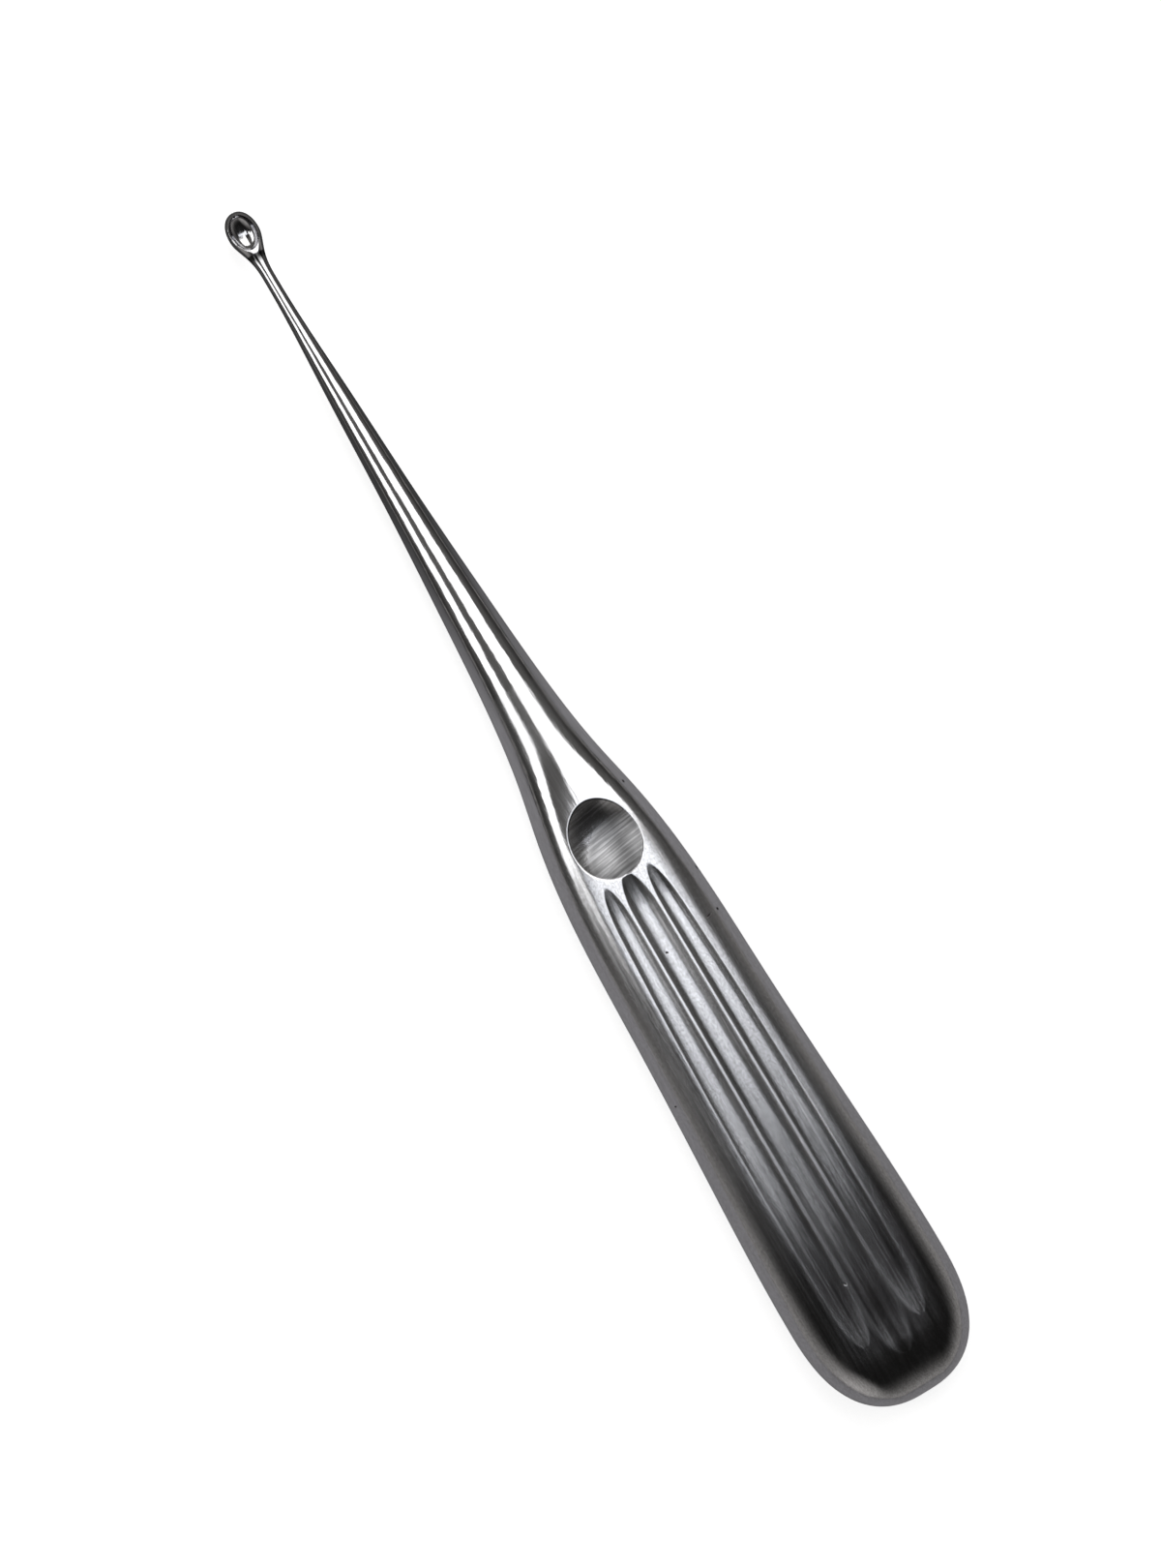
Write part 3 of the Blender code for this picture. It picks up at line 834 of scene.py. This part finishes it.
# A patch of the thumb rest towards the butt, rougher and darkened in colour by painted shade.
DISH_PATCH_MIDDLE = ((REST_STATION - OVERALL / 2 - 5.0) * MM, -3.0 * MM, AXIS * MM)
DISH_PATCH_RADIUS = 0.0096
DISH_PATCH = (DISH_PATCH_MIDDLE, 0.0, (DISH_PATCH_RADIUS, DISH_PATCH_RADIUS, 3 * DISH_PATCH_RADIUS))


# %% The material
def patterns(tree):
    """The masks and the noises that roughness, colour and relief share."""
    place, parts = split_place(tree, "Object")
    fine = streaks(tree, place, FINE_STREAKS)
    wide = streaks(tree, place, WIDE_STREAKS, detail=5.0)
    cross = streaks(tree, place, CROSS_STREAKS, angle=CROSS_ANGLE, detail=5.0)
    dish_mark = mark(tree, "thumb_rest")
    dish_patch_spot = spots(tree, place, (DISH_PATCH,))
    return {
        "x": parts,
        "satin": remap(tree, parts, *SATIN_END, 1.0, 0.0, smooth=True),
        "dish": dish_mark,
        "dish_rough_and_shade": remap(tree, dish_patch_spot, 0.25, 0.60, 0.0, 1.0, smooth=True),
        "flute": mark(tree, "flute"),
        "ridge": mark(tree, "ridge"),
        "nicks": spots(tree, place, NICKS),
        "cross": cross,
        "brushed": blend(tree, dish_mark, blend(tree, WIDE_SHARE, fine, wide), cross),
        "cloud": streaks(tree, place, CLOUDS),
        "speckle": streaks(tree, place, SPECKLES, detail=2.0),
    }


def stretch(tree, parts, start, end):
    """1 between a start and an end along X, and 0 outside them."""
    begun = remap(tree, parts, *start, 0.0, 1.0, smooth=True)
    ended = remap(tree, parts, *end, 1.0, 0.0, smooth=True)
    return arithmetic(tree, "MULTIPLY", begun, ended)


def roughness(tree, of):
    """The finish's own roughness + grain + patches + the finely ground stretch + the nicks, and
    never less than the least."""
    handle = blend(tree, of["flute"], CROWN_ROUGHNESS, FLUTE_ROUGHNESS)
    handle = blend(tree, of["ridge"], handle, RIDGE_ROUGHNESS)
    worn = remap(tree, of["x"], *WORN_BUTT_END, WORN_SHARE, 1.0, smooth=True)
    handle = arithmetic(tree, "MULTIPLY", handle, worn)
    dish_level = blend(tree, of["dish_rough_and_shade"], DISH_ROUGHNESS, DISH_PATCH_ROUGHNESS)
    total = blend(tree, of["satin"], POLISHED_ROUGHNESS, handle)
    total = blend(tree, of["dish"], total, dish_level)
    grain = remap(tree, of["brushed"], *NOISE_RANGE, -0.04, 0.04)
    ground = stretch(tree, of["x"], FINE_GRIND_START, FINE_GRIND_END)
    for part in (
        arithmetic(tree, "MULTIPLY", grain, blend(tree, of["satin"], 0.6, 1.0)),
        remap(tree, of["cloud"], *NOISE_RANGE, -0.03, 0.03),
        arithmetic(tree, "MULTIPLY", ground, FINE_GRIND_ROUGHNESS),
        arithmetic(tree, "MULTIPLY", of["nicks"], NICK_ROUGHNESS),
    ):
        total = arithmetic(tree, "ADD", total, part)
    return arithmetic(tree, "MAXIMUM", total, LEAST_ROUGHNESS)


def base_colour(tree, of):
    """Dark to bright steel by streaks + speckle, with a painted highlight added on the ridges, then
    painted shade on a patch of the thumb rest and on the neck behind the cup, and the nicks, laid
    over it."""
    lines = remap(tree, of["brushed"], *NOISE_RANGE, 0.0, 1.0)
    dish_lines = remap(tree, of["cross"], 0.4, 0.6, -0.2, 1.0)
    grain = remap(tree, of["speckle"], *NOISE_RANGE, -0.5, 0.5)
    tone = blend(tree, of["dish"], lines, dish_lines)
    tone = arithmetic(tree, "ADD", tone, arithmetic(tree, "MULTIPLY", grain, of["satin"]))
    # Painted highlight: the ridges are brightened in colour.
    tone = arithmetic(tree, "ADD", tone, of["ridge"], clamp=True)
    # Painted shade on the patch of the thumb rest, weaker where the cross streak noise is high.
    painted_dish_shade = arithmetic(tree, "MULTIPLY", of["dish_rough_and_shade"], of["dish"])
    painted_dish_shade = arithmetic(tree, "MULTIPLY", painted_dish_shade, remap(tree, of["cross"], 0.42, 0.62, 1.0, 0.35))
    # Painted shade on a band of the neck behind the cup.
    neck_shade = stretch(tree, of["x"], NECK_SHADE_START, NECK_SHADE_END)
    colour = colour_blend(tree, tone, STEEL_DARK, STEEL_BRIGHT)
    colour = colour_blend(tree, painted_dish_shade, colour, DISH_PAINTED_SHADE_COLOUR)
    colour = colour_blend(tree, neck_shade, colour, NECK_SHADE_COLOUR)
    return colour_blend(tree, of["nicks"], colour, NICK_COLOUR)


def relief(tree, of):
    """A bump of height = streaks * their depth + waves - nicks, in fiftieths of a millimetre."""
    depth = blend(tree, of["satin"], 0.15, 1.0)
    depth = blend(tree, of["dish"], depth, 1.6)
    waves = arithmetic(tree, "MULTIPLY", of["cloud"], blend(tree, of["satin"], 8.0, 5.0))
    height = arithmetic(tree, "MULTIPLY", of["brushed"], depth)
    height = arithmetic(tree, "ADD", height, waves)
    height = arithmetic(tree, "SUBTRACT", height, arithmetic(tree, "MULTIPLY", of["nicks"], 3.0))
    bump = add_node(tree, "ShaderNodeBump", Strength=0.5, Distance=0.02 * MM)
    join(tree, height, bump, 0, "Height")
    return bump


def steel():
    """Stainless steel, polished on the shaft and satin on the handle."""
    material = bpy.data.materials.new("stainless_steel")
    material.use_nodes = True
    tree = material.node_tree
    shader = tree.nodes["Principled BSDF"]
    shader.inputs["Metallic"].default_value = 1.0
    of = patterns(tree)
    join(tree, roughness(tree, of), shader, 0, "Roughness")
    join(tree, base_colour(tree, of), shader, "Result", "Base Color")
    join(tree, relief(tree, of), shader, 0, "Normal")
    return material


mesh.materials.append(steel())
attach(curette, "root")
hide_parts("bone_curette")
print("material nodes:", len(mesh.materials[0].node_tree.nodes))

# %% [markdown]
# ## Camera
#
# The photograph looks down on the instrument, which lies across the frame with the cup at the upper
# left. The flutes and the thumb rest sit a little to one side of the outline, which tells that the
# camera stood about five degrees off the vertical. A constraint could aim it. Its own axes are
# worked out from the direction of the instrument in the frame, because that also sets its roll.

# %% Camera
DISTANCE = 0.6
FRAME_HEIGHT = 1620 * PIXEL * MM
TILT = math.radians(5.1)
DIRECTION_IN_FRAME = (0.50832, 0.86117)
AIM_RIGHT = 0.00024
AIM_UP = 0.00308

back_of_camera = Vector((0.0, math.sin(TILT), math.cos(TILT)))
across = Vector((0.0, math.cos(TILT), -math.sin(TILT)))
along = Vector((1.0, 0.0, 0.0))
camera_right = -DIRECTION_IN_FRAME[0] * along - DIRECTION_IN_FRAME[1] * across
camera_up = DIRECTION_IN_FRAME[1] * along - DIRECTION_IN_FRAME[0] * across
aim = Vector((0.0, 0.0, AXIS * MM)) + AIM_RIGHT * camera_right + AIM_UP * camera_up

camera_data = bpy.data.cameras.new("camera")
camera_data.sensor_width = 36.0
camera_data.lens = camera_data.sensor_width * DISTANCE / FRAME_HEIGHT
camera_data.clip_start = 0.01
camera_data.clip_end = 50.0
camera = bpy.data.objects.new("camera", camera_data)
bpy.context.scene.collection.objects.link(camera)
turned = Matrix((camera_right, camera_up, back_of_camera)).transposed()
camera.matrix_world = Matrix.Translation(aim + DISTANCE * back_of_camera) @ turned.to_4x4()
bpy.context.scene.camera = camera
print("lens:", round(camera_data.lens, 1), "camera at", [round(v, 3) for v in camera.location])

# %% [markdown]
# ## Table
#
# The curette lies on white paper, which brightens the sides of the handle from below. One plain
# white would do for a table, but polished steel mirrors it, and the photograph's backdrop is paler
# than what its steel mirrors. So the paper has one shade for the camera and another for the steel.


# %% Table
PAPER_COLOUR = (0.57, 0.56, 0.58, 1.0)
# Painted shade: the paper that the steel sees under the shaft and the cup is dark.
FAR_PAPER_COLOUR = (0.12, 0.12, 0.12, 1.0)
FAR_PAPER_START = (0.01, 0.065)
SEEN_PAPER_COLOUR = (0.8, 0.8, 0.8, 1.0)
PAPER_GLOW = 0.75
TABLE_HALF_SIZE = 12.0


def camera_choice(tree, for_others, for_camera):
    """One shader for the rays of the camera itself and another for all other rays."""
    ray = add_node(tree, "ShaderNodeLightPath")
    choose = add_node(tree, "ShaderNodeMixShader")
    join(tree, ray, choose, "Is Camera Ray", 0)
    join(tree, for_others, choose, 0, 1)
    join(tree, for_camera, choose, 0, 2)
    return choose


def white_paper():
    """Matt white paper. The camera sees it paler than the steel does, by a glow that only camera
    rays meet, because the photograph's backdrop was brightened to white after it was taken. For the
    steel it carries painted shade, darker under the shaft and the cup, whose edges are dark in the
    photograph."""
    material = bpy.data.materials.new("white_paper")
    material.use_nodes = True
    tree = material.node_tree
    matt = tree.nodes["Principled BSDF"]
    matt.inputs["Roughness"].default_value = 1.0
    matt.inputs["Specular IOR Level"].default_value = 0.0
    _, parts = split_place(tree, "Object")
    far = remap(tree, parts, *FAR_PAPER_START, 0.0, 1.0, smooth=True)
    shade = colour_blend(tree, far, PAPER_COLOUR, FAR_PAPER_COLOUR)
    join(tree, shade, matt, "Result", "Base Color")
    bright = add_node(
        tree, "ShaderNodeBsdfPrincipled", Base_Color=SEEN_PAPER_COLOUR, Roughness=1.0
    )
    bright.inputs["Specular IOR Level"].default_value = 0.0
    bright.inputs["Emission Color"].default_value = (1.0, 1.0, 1.0, 1.0)
    bright.inputs["Emission Strength"].default_value = PAPER_GLOW
    join(tree, camera_choice(tree, matt, bright), tree.nodes["Material Output"], 0, "Surface")
    return material


def table_top(name, half_size):
    """A square of the plane z = 0."""
    corners = half_size * np.array([(-1, -1, 0), (1, -1, 0), (1, 1, 0), (-1, 1, 0)], float)
    surface = bpy.data.meshes.new(name)
    surface.from_pydata(corners.tolist(), [], [(0, 1, 2, 3)])
    surface.materials.append(white_paper())
    table = bpy.data.objects.new(name, surface)
    bpy.context.scene.collection.objects.link(table)
    return table


table_top("table", TABLE_HALF_SIZE)

# %% [markdown]
# ## Lights
#
# Polished steel shows what stands round it. The photograph has a long white light on each side of
# the camera, with a dark gap between them, and darkness beyond the butt. They make the two white
# bands on the shaft and leave the butt nearly black. Level panels make them here. Those over the
# handle are a little cooler, and two dim ones let the right light fade outwards. A picture of a
# studio round the scene would do as well, but panels can be placed one by one.

# %% Lights, in metres
LIGHT_HEIGHT = 0.62
WHITE = (1.0, 1.0, 1.0)
COOL = (0.93, 0.955, 1.0)
PANELS = (
    ("right_far_light", (0.043, 0.50), (-0.58, -0.01), 2.0, WHITE),
    ("right_middle_light", (-0.01, 0.043), (-0.19, -0.01), 2.0, WHITE),
    ("right_middle_edge_light", (-0.01, 0.043), (-0.46, -0.19), 0.7, WHITE),
    ("overhead_light", (-0.055, -0.01), (-0.16, 0.18), 1.7, COOL),
    ("overhead_edge_light", (-0.055, -0.01), (-0.32, -0.16), 0.8, COOL),
    ("right_near_light", (-0.098, -0.055), (-0.42, 0.18), 1.95, COOL),
    ("left_far_light", (0.03, 0.50), (0.34, 0.92), 2.0, WHITE),
    ("left_near_light", (-0.03, 0.03), (0.26, 0.44), 2.0, WHITE),
)


def panel(name, x_range, y_range, radiance, colour):
    """A flat light that hangs level over the table and covers these ranges of x and y. Its power
    is radiance times area times pi, which makes it look equally bright from everywhere."""
    light = bpy.data.lights.new(name, "AREA")
    light.shape = "RECTANGLE"
    light.size = x_range[1] - x_range[0]
    light.size_y = y_range[1] - y_range[0]
    light.color = colour
    light.energy = radiance * light.size * light.size_y * math.pi
    lamp = bpy.data.objects.new(name, light)
    lamp.location = (sum(x_range) / 2, sum(y_range) / 2, LIGHT_HEIGHT)
    lamp.visible_camera = False
    bpy.context.scene.collection.objects.link(lamp)
    print(name, "power", round(light.energy, 2))


for values in PANELS:
    panel(*values)

# %% [markdown]
# ## The room
#
# The room is dark. It has a faint warm glow low on its walls, which the flanks of the handle mirror
# as grey, and a small window behind the butt. Walls could be built and lit, but a world whose glow
# follows from the direction alone gives the same reflections and renders with less noise.


# %% The room
X_PART, Z_PART = 0, 2
CEILING_COLOUR = (1.0, 0.97, 0.93, 1.0)
WALL_COLOUR = (1.0, 0.965, 0.93, 1.0)
BACKDROP_COLOUR = (0.81, 0.81, 0.81, 1.0)
WINDOW_DIRECTION = (-0.64, 0.64, 0.42)


def ceiling_glow(tree, parts):
    """Almost nothing behind the butt, more towards the cup, and less of it lower down."""
    ahead = remap(tree, parts, -0.10, 0.05, 0.010, 0.12, smooth=True, output=X_PART)
    steep = remap(tree, parts, 0.1, 0.6, 0.25, 1.0, smooth=True, output=Z_PART)
    return arithmetic(tree, "MULTIPLY", ahead, steep)


def wall_glow(tree, direction, parts):
    """Brightest at the horizon and less higher up. It ends soon on the cup's side and slowly on the
    butt's side. The window is added, and grows as the direction nears the window's own."""
    towards_butt = remap(tree, parts, -0.06, 0.01, 1.0, 0.0, smooth=True, output=X_PART)
    tall = remap(tree, parts, 0.0, 0.78, 0.29, 0.0, smooth=True, output=Z_PART)
    thin = remap(tree, parts, 0.0, 0.16, 0.27, 0.0, smooth=True, output=Z_PART)
    nearness = add_node(tree, "ShaderNodeVectorMath", operation="DOT_PRODUCT")
    nearness.inputs[1].default_value = WINDOW_DIRECTION
    join(tree, direction, nearness, "Generated", 0)
    window = remap(tree, nearness, 0.85, 1.0, 0.0, 0.24, smooth=True, output="Value")
    return arithmetic(tree, "ADD", blend(tree, towards_butt, thin, tall), window)


world = bpy.data.worlds.new("studio")
world.use_nodes = True
bpy.context.scene.world = world
sky = world.node_tree
sky.nodes.clear()
direction, parts = split_place(sky, "Generated")
ceiling = add_node(sky, "ShaderNodeBackground", Color=CEILING_COLOUR)
join(sky, ceiling_glow(sky, parts), ceiling, 0, "Strength")
walls = add_node(sky, "ShaderNodeBackground", Color=WALL_COLOUR)
join(sky, wall_glow(sky, direction, parts), walls, 0, "Strength")
room = add_node(sky, "ShaderNodeAddShader")
join(sky, ceiling, room, 0, 0)
join(sky, walls, room, 0, 1)
backdrop = add_node(sky, "ShaderNodeBackground", Color=BACKDROP_COLOUR, Strength=1.0)
out = add_node(sky, "ShaderNodeOutputWorld")
join(sky, camera_choice(sky, room, backdrop), out, 0, "Surface")
bpy.context.scene.view_settings.view_transform = "Standard"
print("room nodes:", len(sky.nodes))
